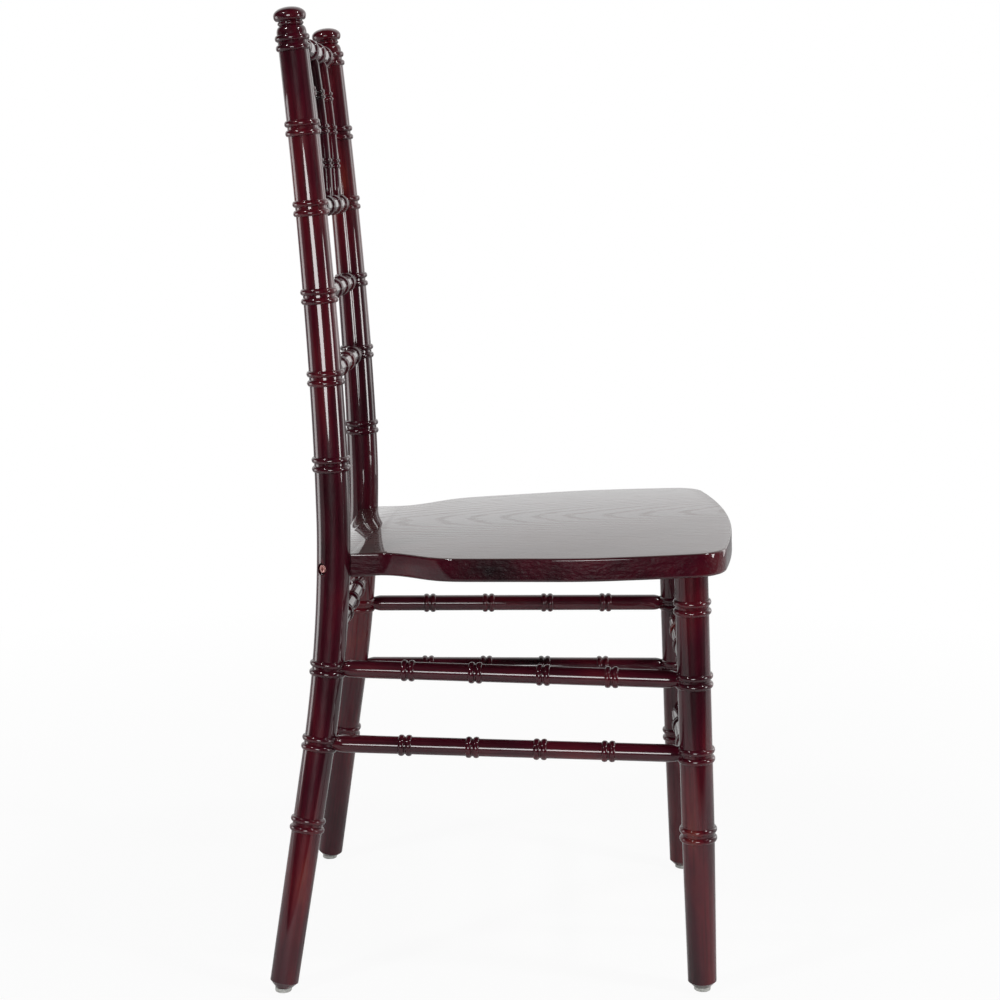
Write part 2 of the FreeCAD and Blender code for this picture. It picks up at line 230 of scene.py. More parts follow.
def lathe_tree():
    """The shape tree that turns a centre line with plain radii and ring places into a ringed dowel."""
    group = bpy.data.node_groups.new("lathe", "GeometryNodeTree")
    group.interface.new_socket("Centre Line", in_out="INPUT", socket_type="NodeSocketGeometry")
    for name in ("Ring Rise", "Ring Spacing", "Ring Length"):
        group.interface.new_socket(name, in_out="INPUT", socket_type="NodeSocketFloat")
    group.interface.new_socket("Facets", in_out="INPUT", socket_type="NodeSocketInt")
    group.interface.new_socket("Wood", in_out="INPUT", socket_type="NodeSocketMaterial")
    group.interface.new_socket("Turned Piece", in_out="OUTPUT", socket_type="NodeSocketGeometry")
    tree = Tree(group)
    given = tree.add("NodeGroupInput")

    def attribute(name, kind="FLOAT"):
        return tree.add("GeometryNodeInputNamedAttribute", {"data_type": kind}, {"Name": name})["Attribute"]

    def store(geometry, name, value, kind="FLOAT"):
        settings = {"data_type": kind, "domain": "POINT"}
        values = {"Geometry": geometry, "Name": name, "Value": value}
        return tree.add("GeometryNodeStoreNamedAttribute", settings, values)["Geometry"]

    line = tree.add("GeometryNodeMeshToCurve", None, {"Mesh": given["Centre Line"]})["Curve"]
    measured = store(line, "place", tree.add("GeometryNodeSplineParameter")["Length"])
    points = tree.add("GeometryNodeCurveToPoints", {"mode": "EVALUATED"}, {"Curve": measured})["Points"]
    split = tree.add("GeometryNodeSeparateGeometry", {"domain": "POINT"}, {
        "Geometry": points, "Selection": attribute("ring").maths("GREATER_THAN", 0.5)})

    half = given["Ring Length"] / 2
    reach = given["Ring Spacing"] / 2 + half
    start = tree.add("ShaderNodeCombineXYZ", None, {"X": reach * -1})["Vector"]
    end = tree.add("ShaderNodeCombineXYZ", None, {"X": reach})["Vector"]
    pair = tree.add("GeometryNodeMeshLine", {"mode": "END_POINTS"}, {
        "Count": stations_per_pair, "Start Location": start, "Offset": end})["Mesh"]
    along = tree.add("ShaderNodeSeparateXYZ", None, {
        "Vector": tree.add("GeometryNodeInputPosition")["Position"]})["X"]
    from_bead = (along.maths("ABSOLUTE") - given["Ring Spacing"] / 2) / half
    bead = (1 - from_bead * from_bead).maths("MAXIMUM", 0.0).maths("SQRT") * given["Ring Rise"]
    pair = store(store(pair, "offset", along), "rise", bead)
    pairs = tree.add("GeometryNodeInstanceOnPoints", None, {
        "Points": split["Selection"], "Instance": pair})
    made = tree.add("GeometryNodeRealizeInstances", None, {"Geometry": pairs["Instances"]})["Geometry"]
    ring_points = tree.add("GeometryNodeMeshToPoints", None, {"Mesh": made})["Points"]
    ring_points = store(ring_points, "station", attribute("place") + attribute("offset"))
    plain_points = store(split["Inverted"], "station", attribute("place"))
    plain_points = store(plain_points, "rise", 0.0)
    join = group.nodes.new("GeometryNodeJoinGeometry")
    group.links.new(ring_points.socket, join.inputs[0])
    group.links.new(plain_points.socket, join.inputs[0])
    stations = tree.add("GeometryNodePointsToCurves", None, {
        "Points": Signal(join.outputs[0]), "Weight": attribute("station")})["Curves"]
    sampled = tree.add("GeometryNodeSampleCurve", {"mode": "LENGTH", "data_type": "FLOAT"}, {
        "Curves": measured, "Value": attribute("plain_radius"), "Length": attribute("station")})
    placed = tree.add("GeometryNodeSetPosition", None, {
        "Geometry": stations, "Position": sampled["Position"]})["Geometry"]
    placed = store(placed, "radius_here", sampled["Value"] + attribute("rise"))
    placed = tree.add("GeometryNodeSetCurveNormal", {"mode": "MINIMUM_TWIST"}, {"Curve": placed})["Curve"]
    profile = tree.add("GeometryNodeCurvePrimitiveCircle", {"mode": "RADIUS"}, {
        "Resolution": given["Facets"], "Radius": lacquer_fit})["Curve"]
    profile = store(profile, "round", tree.add("GeometryNodeInputPosition")["Position"], "FLOAT_VECTOR")
    skin = tree.add("GeometryNodeCurveToMesh", None, {
        "Curve": placed, "Profile Curve": profile, "Scale": attribute("radius_here"),
        "Fill Caps": True})["Mesh"]
    circle_part = tree.add("ShaderNodeVectorMath", {"operation": "SCALE"}, {
        "Vector": attribute("round", "FLOAT_VECTOR"), "Scale": attribute("radius_here")})["Vector"]
    station_part = tree.add("ShaderNodeCombineXYZ", None, {"Z": attribute("station")})["Vector"]
    grain = tree.add("ShaderNodeVectorMath", {"operation": "ADD"}, {
        0: circle_part, 1: station_part})["Vector"]
    skin = store(skin, "grain", grain, "FLOAT_VECTOR")
    skin = tree.add("GeometryNodeSetShadeSmooth", None, {"Geometry": skin})["Geometry"]
    whole = tree.add("GeometryNodeRealizeInstances", None, {"Geometry": skin})["Geometry"]
    whole = tree.add("GeometryNodeSetMaterial", None, {
        "Geometry": whole, "Material": given["Wood"]})["Geometry"]
    tree.add("NodeGroupOutput", None, {"Turned Piece": whole})
    return group


lathe = lathe_tree()


def settle(piece):
    """Turns a piece's modifiers into a plain mesh."""
    evaluated = piece.evaluated_get(bpy.context.evaluated_depsgraph_get())
    whole = bpy.data.meshes.new_from_object(evaluated)
    piece.modifiers.clear()
    piece.data = whole


def turn(name, stations, rings, wood=turned_wood):
    """A turned piece in place of the CAD node of this name.

    stations are (point, plain radius, whether a ring pair sits there); rings are (rise, spacing, length).
    """
    points, radii, ring_marks = zip(*stations)
    mesh = bpy.data.meshes.new(name + "_turned")
    mesh.from_pydata(points, [(number, number + 1) for number in range(len(points) - 1)], [])
    plain_radius = mesh.attributes.new("plain_radius", "FLOAT", "POINT")
    plain_radius.data.foreach_set("value", radii)
    ring_here = mesh.attributes.new("ring", "FLOAT", "POINT")
    ring_here.data.foreach_set("value", [float(mark) for mark in ring_marks])
    piece = bpy.data.objects.new(name + "_turned", mesh)
    bpy.context.scene.collection.objects.link(piece)
    modifier = piece.modifiers.new("lathe", "NODES")
    modifier.node_group = lathe
    inputs = dict(zip(("Ring Rise", "Ring Spacing", "Ring Length"), rings))
    inputs.update({"Facets": facets_round, "Wood": wood})
    for item in lathe.interface.items_tree:
        if item.in_out == "INPUT" and item.name in inputs:
            modifier[item.identifier] = inputs[item.name]
    settle(piece)
    piece.data.name = name + "_turned"
    return piece


seam_width = 1e-6
sharp_corner = math.radians(50)


def hand_over(piece, node):
    """Closes a piece's seams, keeps its hard corners sharp and puts it in a CAD node's place."""
    shell = bmesh.new()
    shell.from_mesh(piece.data)
    bmesh.ops.remove_doubles(shell, verts=shell.verts, dist=seam_width)
    bmesh.ops.recalc_face_normals(shell, faces=shell.faces)
    shell.to_mesh(piece.data)
    shell.free()
    piece.data.set_sharp_from_angle(angle=sharp_corner)
    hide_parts(node)
    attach(piece, "root")


# The two rear posts run from the feet to the finials in one steamed and bent dowel each.
# They stand upright at the seat, lean back above it and splay out and back below it.
# Each is thickest at the seat, and each has a counterbore for the head of a seat screw.
post_half_spread = 0.140
post_along = 0.163
post_widest_radius = 0.0163
post_widest_height = 0.470
post_taper = 0.0058
bend_start = 0.447
bend_length = 0.222
splay_across = 0.149
splay_along = 0.1446
crest_height = 0.895
back_lean = 0.032
lean_power = 1.5
post_ring_heights = [0.1596, 0.2369, 0.3087, 0.506, 0.5876, 0.6642, 0.7454, 0.8184, crest_height]
leg_rings = (0.0023, 0.0087, 0.0060)
glide_thickness = 0.004
foot_edge_height = 0.0095
foot_edge_slope = 0.98
foot_edge_drop = 0.0004
foot_edge_step = 0.0005
plain_step = 0.006
ring_room = 0.0004


def post_line(height, side):
    """The point on a rear post's centre line at this height."""
    below = max(bend_start - height, 0.0)
    drift = below - bend_length / 2
    if below < bend_length:
        drift = below * below / (2 * bend_length)
    rise = max(height - bend_start, 0.0) / (crest_height - bend_start)
    x = post_half_spread + splay_across * drift
    y = post_along + splay_along * drift + back_lean * rise ** lean_power
    return Vector((side * x, y, height))


def post_radius(height):
    """The plain radius of a rear post at this height."""
    return post_widest_radius - post_taper * abs(height - post_widest_height)


def plain_heights(bottom, top, ring_heights, clear):
    """Evenly spaced heights from bottom to top that keep clear of the ring pairs."""
    count = math.ceil((top - bottom) / plain_step)
    heights = [bottom + (top - bottom) * number / count for number in range(count + 1)]
    return [h for h in heights if all(abs(h - ring) > clear for ring in ring_heights)]


def ring_clear(rings):
    """Half the length of a ring pair, with a little room beyond it."""
    spacing, length = rings[1:]
    return (spacing + length) / 2 + ring_room


def foot_stations(line, side, radius):
    """The stations of a foot's sloping edge, from floor level up to the leg's plain radius."""
    return [
        (line(0.0, side), radius - foot_edge_height * foot_edge_slope, False),
        (line(foot_edge_height - foot_edge_drop, side), radius - foot_edge_step, False),
    ]


# The finial, as distances above the crest rail's centre line: a hollow neck, a thin collar
# and a bulging cap with a low dome.
finial_base = 0.0088
neck_height = 0.0149
neck_radius = 0.0105
collar_height = 0.0173
collar_rise = 0.0016
collar_half_length = 0.0016
cap_bottom = 0.0197
cap_foot_radius = 0.0124
cap_radius = 0.0152
cap_middle = 0.0243
cap_top = 0.0323
collar_foot_step = 0.0003
cap_neck_step = 0.0006
cap_neck_drop = 0.0002
dome_power = 0.9
dome_tip_radius = 0.00005


def finial_outline():
    """The finial's stations (place, radius), with its curves worked out in small steps."""
    outline = []
    steps = 10
    base_radius = post_radius(crest_height)
    for number in range(steps + 1):
        turn_angle = math.pi / 2 * number / steps
        outline.append((
            finial_base + (neck_height - finial_base) * math.sin(turn_angle),
            neck_radius + (base_radius - neck_radius) * math.cos(turn_angle),
        ))
    for number in range(1, steps):
        share = number / steps * 2 - 1
        outline.append((
            collar_height + collar_half_length * share,
            neck_radius + collar_rise * math.sqrt(1 - share * share),
        ))
    outline.append((collar_height + collar_half_length, neck_radius + collar_foot_step))
    outline.append((cap_bottom - cap_neck_drop, neck_radius + cap_neck_step))
    for number in range(steps + 1):
        turn_angle = math.pi / 2 * number / steps
        outline.append((
            cap_bottom + (cap_middle - cap_bottom) * (1 - math.cos(turn_angle)),
            cap_foot_radius + (cap_radius - cap_foot_radius) * math.sin(turn_angle),
        ))
    dome_steps = 24
    for number in range(1, dome_steps + 1):
        turn_angle = math.pi / 2 * number / dome_steps
        outline.append((
            cap_middle + (cap_top - cap_middle) * math.sin(turn_angle),
            max(cap_radius * math.cos(turn_angle) ** dome_power, dome_tip_radius),
        ))
    return outline


def post_stations(side):
    """Every station of a rear post, from under its foot to the top of its finial."""
    clear = ring_clear(leg_rings)
    stations = foot_stations(post_line, side, post_radius(foot_edge_height))
    heights = plain_heights(foot_edge_height, crest_height, post_ring_heights, clear)
    heights = [h for h in heights if h < crest_height - clear]
    for height in sorted(heights + post_ring_heights):
        stations.append((post_line(height, side), post_radius(height), height in post_ring_heights))
    crest = post_line(crest_height, side)
    way = (crest - post_line(crest_height - 0.001, side)).normalized()
    for place, radius in finial_outline():
        stations.append((crest + way * place, radius, False))
    return stations


def cut_level(piece, height):
    """Cuts the foot of a leaning piece level with the floor."""
    shell = bmesh.new()
    shell.from_mesh(piece.data)
    bmesh.ops.remove_doubles(shell, verts=shell.verts, dist=seam_width)
    everything = list(shell.verts) + list(shell.edges) + list(shell.faces)
    cut = bmesh.ops.bisect_plane(
        shell, geom=everything, plane_co=(0, 0, height), plane_no=(0, 0, -1), clear_outer=True)
    rim = [item for item in cut["geom_cut"] if isinstance(item, bmesh.types.BMEdge)]
    bmesh.ops.edgeloop_fill(shell, edges=rim)
    shell.to_mesh(piece.data)
    shell.free()


# A seat screw goes through each rear post into the seat's corner. Its head sits on the bottom
# of a counterbore, whose depth is measured here from the post's centre line.
screw_height = 0.4065
screw_turn = math.radians(40)
counterbore_radius = 0.00575
counterbore_seat = 0.012
counterbore_facets = 48
drill_length = 0.02


def screw_way(side):
    """The direction in which a seat screw is driven."""
    return Vector((-side * math.cos(screw_turn), -math.sin(screw_turn), 0))


def bore(piece, side):
    """Cuts the counterbore for a seat screw's head into a rear post."""
    drill = bpy.data.objects.new("drill", bpy.data.meshes.new("drill"))
    shell = bmesh.new()
    start = post_line(screw_height, side) - screw_way(side) * counterbore_seat
    turned = screw_way(side).to_track_quat("Z", "Y").to_matrix().to_4x4()
    bmesh.ops.create_cone(
        shell, cap_ends=True, segments=counterbore_facets, radius1=counterbore_radius,
        radius2=counterbore_radius, depth=drill_length,
        matrix=Matrix.Translation(start - screw_way(side) * drill_length / 2) @ turned)
    shell.to_mesh(drill.data)
    shell.free()
    bpy.context.scene.collection.objects.link(drill)
    modifier = piece.modifiers.new("bore", "BOOLEAN")
    modifier.operation = "DIFFERENCE"
    modifier.solver = "EXACT"
    modifier.object = drill
    settle(piece)
    bpy.data.objects.remove(drill)


for side_name, side in sides.items():
    node = "rear_post_" + side_name
    post = turn(node, post_stations(side), leg_rings)
    cut_level(post, glide_thickness)
    bore(post, side)
    hand_over(post, node)

# The two front legs are straight dowels that taper towards the floor below their lowest rings.
# A tenon on top of each is glued into the seat.
leg_half_spread = 0.172
leg_foot_along = -0.19275
leg_lean = 19.55 / 450
leg_radius = 0.0157
leg_foot_radius = 0.01385
leg_ring_heights = [0.1571, 0.2351, 0.3071, 0.3778]
tenon_length = 0.012
leg_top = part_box("front_leg_left")[1].z - tenon_length


def leg_line(height, side):
    """The point on a front leg's centre line at this height."""
    return Vector((side * leg_half_spread, leg_foot_along + leg_lean * height, height))


def leg_radius_at(height):
    """The plain radius of a front leg at this height."""
    share = min((height - foot_edge_height) / (leg_ring_heights[0] - foot_edge_height), 1.0)
    return leg_foot_radius + (leg_radius - leg_foot_radius) * share


for side_name, side in sides.items():
    node = "front_leg_" + side_name
    heights = plain_heights(foot_edge_height, leg_top, leg_ring_heights, ring_clear(leg_rings))
    stations = foot_stations(leg_line, side, leg_foot_radius)
    for height in sorted(heights + leg_ring_heights):
        stations.append((leg_line(height, side), leg_radius_at(height), height in leg_ring_heights))
    leg = turn(node, stations, leg_rings)
    cut_level(leg, glide_thickness)
    hand_over(leg, node)

# Rails, stretchers and rungs are thinner dowels of one pattern, each with four ring pairs
# spaced evenly about its middle, and a tenon at each end glued into the legs or posts.
bar_radius = 0.0085
bar_rings = (0.0018, 0.0072, 0.0056)
bar_pairs = 4
bar_pair_gap = 0.0648
bar_shoulder_gap = 0.0012
bar_end_radius = 0.0070
bar_end_taper = 0.0075
bar_inside = 0.006
bar_end_steps = 6
rail_rings = {"crest_rail": 8, "second_back_rail": 6, "third_back_rail": 5, "fourth_back_rail": 4}
stretcher_rings = {"lower": 1, "upper": 2}
rear_rung_height = 0.337
front_rung_heights = {"lower": 0.187, "upper": 0.2915}


def bar_end(radius):
    """The stations (place, radius) of a bar's end, from inside the leg to its full thickness."""
    shoulder = radius + bar_shoulder_gap
    stations = [(radius - bar_inside, bar_end_radius)]
    for number in range(bar_end_steps):
        turn_angle = math.pi / 2 * number / bar_end_steps
        stations.append((
            shoulder + bar_end_taper * number / bar_end_steps,
            bar_end_radius + (bar_radius - bar_end_radius) * math.sin(turn_angle),
        ))
    return stations


def bar_stations(start, end, start_radius, end_radius):
    """The stations of a bar between two points on the legs' centre lines."""
    length = (end - start).length
    way = (end - start).normalized()
    gap = min(length / (bar_pairs + 1), bar_pair_gap)
    pairs = [length / 2 + gap * (number - (bar_pairs - 1) / 2) for number in range(bar_pairs)]
    first = bar_end(start_radius)
    last = [(length - place, radius) for place, radius in bar_end(end_radius)]
    room = bar_shoulder_gap + bar_end_taper
    places = plain_heights(start_radius + room, length - end_radius - room, pairs, ring_clear(bar_rings))
    stations = [(place, radius, False) for place, radius in first + last]
    stations += [(place, bar_radius, False) for place in places]
    stations += [(place, bar_radius, True) for place in pairs]
    return [(start + way * place, radius, ring) for place, radius, ring in sorted(stations)]


bars = {}
for name, ring in rail_rings.items():
    height = post_ring_heights[ring]
    bars[name] = (post_line(height, -1), post_line(height, 1), post_radius(height), post_radius(height))
radius = post_radius(rear_rung_height)
bars["rear_rung"] = (post_line(rear_rung_height, -1), post_line(rear_rung_height, 1), radius, radius)
for level_name, height in front_rung_heights.items():
    bars["front_rung_" + level_name] = (leg_line(height, -1), leg_line(height, 1), leg_radius, leg_radius)
for side_name, side in sides.items():
    for level_name, ring in stretcher_rings.items():
        height = post_ring_heights[ring]
        front = leg_line(leg_ring_heights[ring], side)
        name = "side_stretcher_" + level_name + "_" + side_name
        bars[name] = (post_line(height, side), front, post_radius(height), leg_radius)
for name, run in bars.items():
    hand_over(turn(name, bar_stations(*run), bar_rings), name)

# Three thin spindles stand between the two top rails, bowed a little towards the sitter's back.
spindle_spread = 0.0695
spindle_radius = 0.00475
spindle_rings = (0.0016, 0.0052, 0.0042)
spindle_pairs = 3
spindle_bow = 0.0023
spindle_shoulder = 0.0076
spindle_end_radius = 0.0036
spindle_end_taper = 0.004
spindle_inside = 0.003
crest_middle = (bars["crest_rail"][0] + bars["crest_rail"][1]) / 2
second_middle = (bars["second_back_rail"][0] + bars["second_back_rail"][1]) / 2
rail_gap = (crest_middle - second_middle).length


def spindle_stations(x):
    """The stations of one spindle, from inside the crest rail to inside the second rail."""
    pair_gap = (rail_gap - 2 * spindle_shoulder) / (spindle_pairs + 1)
    pairs = [spindle_shoulder + pair_gap * number for number in range(1, spindle_pairs + 1)]
    taper_end = spindle_shoulder + spindle_end_taper
    places = plain_heights(taper_end, rail_gap - taper_end, pairs, ring_clear(spindle_rings))
    rows = [(place, spindle_radius, False) for place in places]
    rows += [(place, spindle_radius, True) for place in pairs]
    for place in (spindle_inside, spindle_shoulder):
        rows += [(place, spindle_end_radius, False), (rail_gap - place, spindle_end_radius, False)]
    stations = []
    for place, radius, ring in sorted(rows):
        share = place / rail_gap
        point = crest_middle.lerp(second_middle, share)
        bow = spindle_bow * math.sin(math.pi * share)
        stations.append((Vector((x, point.y - bow, point.z)), radius, ring))
    return stations


for name, x in {"right": -spindle_spread, "centre": 0.0, "left": spindle_spread}.items():
    node = "back_spindle_" + name
    hand_over(turn(node, spindle_stations(x), spindle_rings), node)

# The seat is one flat board, higher in front, with a waist towards the rear.
# Its edges are softened all round, and a round notch at each rear corner fits a post.
seat_thickness = 0.0225
seat_middle_height = 0.42475
seat_tilt = math.radians(2.389)
seat_rear = 0.1655
seat_front = -0.2230
seat_rear_half_width = 0.137
seat_half_width = 0.200
seat_widest_along = -0.093
seat_side_radius = 0.855
seat_front_radius = 0.930
seat_corner_radius = 0.034
seat_waist = [(0.137, 0.123), (0.153, 0.0905), (0.1745, 0.0615), (0.183, 0.030), (0.1905, -0.016)]
post_notch_gap = 0.00025
top_edge_round = 0.0022
bottom_edge_round = 0.0030
outline_step = 0.003
notch_round_share = 0.2
rear_points = 20
notch_points = 20
cheek_points = 6


def arc(centre, radius, start_angle, end_angle, count=None):
    """Points on an arc in plan, both ends included."""
    count = count or math.ceil(abs(end_angle - start_angle) * radius / outline_step)
    angles = [start_angle + (end_angle - start_angle) * number / count for number in range(count + 1)]
    return [Vector((centre.x + radius * math.cos(a), centre.y + radius * math.sin(a))) for a in angles]


def smooth_run(points):
    """A smooth curve in plan through these points that starts and ends straight towards the front."""
    steps = [(after - before).length for before, after in zip(points, points[1:])]
    count = len(points)
    forward = Vector((0, -1))
    rows = numpy.eye(count)
    wanted = numpy.array([forward] * count)
    for i in range(1, count - 1):
        before, after = 1 / steps[i - 1], 1 / steps[i]
        rows[i, i - 1:i + 2] = (before, 2 * (before + after), after)
        wanted[i] = 3 * (
            (points[i] - points[i - 1]) * before ** 2 + (points[i + 1] - points[i]) * after ** 2)
    slopes = [Vector(slope) for slope in numpy.linalg.solve(rows, wanted)]
    run = [points[0]]
    for i, step in enumerate(steps):
        parts = max(math.ceil(step / outline_step), 2)
        for number in range(1, parts + 1):
            t = number / parts
            run.append(
                points[i] * (2 * t ** 3 - 3 * t ** 2 + 1) + slopes[i] * step * (t ** 3 - 2 * t ** 2 + t)
                + points[i + 1] * (3 * t ** 2 - 2 * t ** 3) + slopes[i + 1] * step * (t ** 3 - t ** 2))
    return run


def seat_side():
    """The left side of the seat's outline, from the rear corner to the middle of the front."""
    widest = Vector((seat_half_width, seat_widest_along))
    side_run = smooth_run([Vector(point) for point in seat_waist] + [widest])
    side_centre = widest - Vector((seat_side_radius, 0))
    front_centre = Vector((0, seat_front + seat_front_radius))
    side_reach = seat_side_radius - seat_corner_radius
    front_reach = seat_front_radius - seat_corner_radius
    apart = front_centre - side_centre
    along = (side_reach ** 2 - front_reach ** 2 + apart.length ** 2) / (2 * apart.length)
    away = math.sqrt(side_reach ** 2 - along ** 2)
    way = apart.normalized()
    corner = side_centre + way * along + Vector((way.y, -way.x)) * away
    side_angle = math.atan2(corner.y - side_centre.y, corner.x - side_centre.x)
    front_angle = math.atan2(corner.y - front_centre.y, corner.x - front_centre.x)
    side_run += arc(side_centre, seat_side_radius, 0, side_angle)[1:]
    side_run += arc(corner, seat_corner_radius, side_angle, front_angle)[1:]
    return side_run + arc(front_centre, seat_front_radius, front_angle, -math.pi / 2)[1:]


def seat_half(level):
    """The left half of the seat's outline at this depth below its top, as (point, share of the
    edge rounding there): the straight rear edge, the notch round the post, then the side."""
    height = (seat_turn @ Vector((0, post_along, -level)) + seat_lift).z
    post = seat_turn.inverted() @ (post_line(height, 1) - seat_lift)
    notch = post_radius(height) + post_notch_gap
    first = math.pi - math.asin((seat_rear - post.y) / notch)
    last = math.pi + math.acos((post.x - seat_rear_half_width) / notch)
    rear_end = post.x + notch * math.cos(first)
    hard = [Vector((rear_end * number / rear_points, seat_rear)) for number in range(rear_points)]
    hard += arc(post, notch, first, last, notch_points)
    half = [(point, notch_round_share) for point in hard]
    for number in range(1, cheek_points):
        along = number / cheek_points
        share = notch_round_share + (1 - notch_round_share) * along
        half.append((hard[-1].lerp(side_outline[0], along), share))
    return half + [(point, 1.0) for point in side_outline]


def seat_loop(level, inset):
    """The whole outline at this depth, drawn in by this inset, in the chair's own place."""
    half = seat_half(level)
    whole = half + [(Vector((-point.x, point.y)), share) for point, share in reversed(half[1:-1])]
    loop = []
    for number, (point, share) in enumerate(whole):
        before = (point - whole[number - 1][0]).normalized()
        after = (whole[(number + 1) % len(whole)][0] - point).normalized()
        along = (before + after).normalized()
        inward = Vector((along.y, -along.x))
        moved = point + inward * inset * share
        loop.append(seat_turn @ Vector((moved.x, moved.y, -level)) + seat_lift)
    return loop


seat_turn = Matrix.Rotation(-seat_tilt, 3, "X")
seat_lift = Vector((0, 0, seat_middle_height))
side_outline = seat_side()
top_edge = []
bottom_edge = []
round_steps = 7
for number in range(round_steps + 1):
    turn_angle = math.pi / 2 * number / round_steps
    rising, falling = 1 - math.cos(turn_angle), 1 - math.sin(turn_angle)
    top_edge.append((top_edge_round * rising, top_edge_round * falling))
    bottom_edge.append((seat_thickness - bottom_edge_round * falling, bottom_edge_round * rising))
board = bmesh.new()
loops = []
for level, inset in top_edge + bottom_edge:
    loops.append([board.verts.new(point) for point in seat_loop(level, inset)])
for upper, lower in zip(loops, loops[1:]):
    for number in range(len(upper)):
        face = board.faces.new((upper[number - 1], lower[number - 1], lower[number], upper[number]))
        face.smooth = True
board.faces.new(loops[0])
board.faces.new(reversed(loops[-1]))
seat_mesh = bpy.data.meshes.new("seat_board")
board.to_mesh(seat_mesh)
board.free()
seat_board = bpy.data.objects.new("seat_board", seat_mesh)
bpy.context.scene.collection.objects.link(seat_board)

# The seat's wood is flat sawn, so its growth rings show as long nested arches on top
# and as lines along the edge. The lacquer on its edge has a fine orange-peel ripple.
trunk_across = 0.035
trunk_below = 0.33
trunk_slope = 0.22
ring_waves = 950.0
ring_wander = 0.010
pale_line = (0.11, 0.055, 0.040, 1.0)
line_strength = 0.6
coat_loss = 0.30
seat_wood = blank_material("seat_mahogany")
tree = Tree(seat_wood.node_tree)
place = tree.add("ShaderNodeTexCoord")["Object"]
wander = noise(tree, stretched(tree, place, (1.0, 0.25, 1.0)), 26.0, 2.0)
apart = tree.add("ShaderNodeSeparateXYZ", None, {"Vector": place})
trunk_side = apart["X"] - trunk_across
trunk_depth = apart["Z"] - trunk_below + apart["Y"] * trunk_slope
trunk_way = (trunk_side * trunk_side + trunk_depth * trunk_depth).maths("SQRT")
rings = ((trunk_way + wander * ring_wander) * ring_waves).maths("SINE") * 0.5 + 0.5
fibre = noise(tree, stretched(tree, place, (1.0, 0.035, 1.0)), 520.0, 4.0)
cloud = noise(tree, place, 14.0, 3.0)
stain_depth = cloud.between(0.3, 0.75)
lines = rings.between(0.55, 1.0) * 0.6 + fibre.between(0.45, 0.7) * 0.4
flat = tree.add("ShaderNodeSeparateXYZ", None, {
    "Vector": tree.add("ShaderNodeTexCoord")["Normal"]})["Z"].maths("ABSOLUTE").between(0.5, 0.9)
edge_stops = [(0.0, stain_black), (0.5, stain_maroon), (1.0, stain_red)]
edge_stain = tree.add("ShaderNodeValToRGB", {"stops": edge_stops}, {"Fac": stain_depth})["Color"]
top_stops = [(0.0, (0.030, 0.008, 0.010)), (1.0, (0.055, 0.018, 0.018))]
top_stain = tree.add("ShaderNodeValToRGB", {"stops": top_stops}, {"Fac": stain_depth})["Color"]
lined = tree.add("ShaderNodeMix", {"data_type": "RGBA"}, {
    "Factor": lines * line_strength, "A": top_stain, "B": pale_line})["Result"]
stained = tree.add("ShaderNodeMix", {"data_type": "RGBA"}, {
    "Factor": flat, "A": edge_stain, "B": lined})["Result"]
peel = noise(tree, stretched(tree, place, (1.0, 0.5, 1.0)), 270.0, 2.0)
ripple = peel * (1 - flat) + (fibre * 0.006 + cloud * 0.25) * flat
coat = 1 - lines.between(0.25, 0.9) * flat * coat_loss
lacquered(tree, stained, fibre, ripple, ripple_strength=0.9, ripple_size=0.0012, coat=coat)
seat_mesh.materials.append(seat_wood)
hand_over(seat_board, "seat")

# Two screws hold the seat, each driven through a rear post into the seat's corner.
# The painted pan head sits in its counterbore and has a hexagonal socket.
head_radius = 0.0040
head_thickness = 0.0026
head_edge = 0.0008
head_edge_steps = 6
socket_radius = 0.0017
socket_depth = 0.0016
socket_bevel = 0.0002
shank_radius = 0.0023
screw_reach = 0.046
point_length = 0.006
point_radius = 0.0004
screw_paint = blank_material("screw_paint")
tree = Tree(screw_paint.node_tree)
place = tree.add("ShaderNodeTexCoord")["Object"]
worn = noise(tree, place, 900.0, 3.0)
paint_stops = [(0.0, (0.34, 0.11, 0.10)), (1.0, (0.66, 0.36, 0.33))]
shade = tree.add("ShaderNodeValToRGB", {"stops": paint_stops}, {
    "Fac": worn.between(0.35, 0.65)})["Color"]
shader = tree.add("ShaderNodeBsdfPrincipled", None, {
    "Base Color": shade, "Metallic": 0.6, "Roughness": 0.28 + worn * 0.1})["BSDF"]
tree.add("ShaderNodeOutputMaterial", None, {"Surface": shader})
head_face = -counterbore_seat - head_thickness
outline = [(socket_radius, head_face + socket_depth), (socket_radius, head_face + socket_bevel)]
outline.append((socket_radius + socket_bevel, head_face))
hexagon_rims = len(outline)
for number in range(head_edge_steps + 1):
    turn_angle = math.pi / 2 * number / head_edge_steps
    outline.append((
        head_radius - head_edge * (1 - math.sin(turn_angle)),
        head_face + head_edge * (1 - math.cos(turn_angle)),
    ))
outline += [(head_radius, -counterbore_seat), (shank_radius, -counterbore_seat)]
outline += [(shank_radius, screw_reach - point_length), (point_radius, screw_reach)]
screw_facets = 48
screws = bmesh.new()
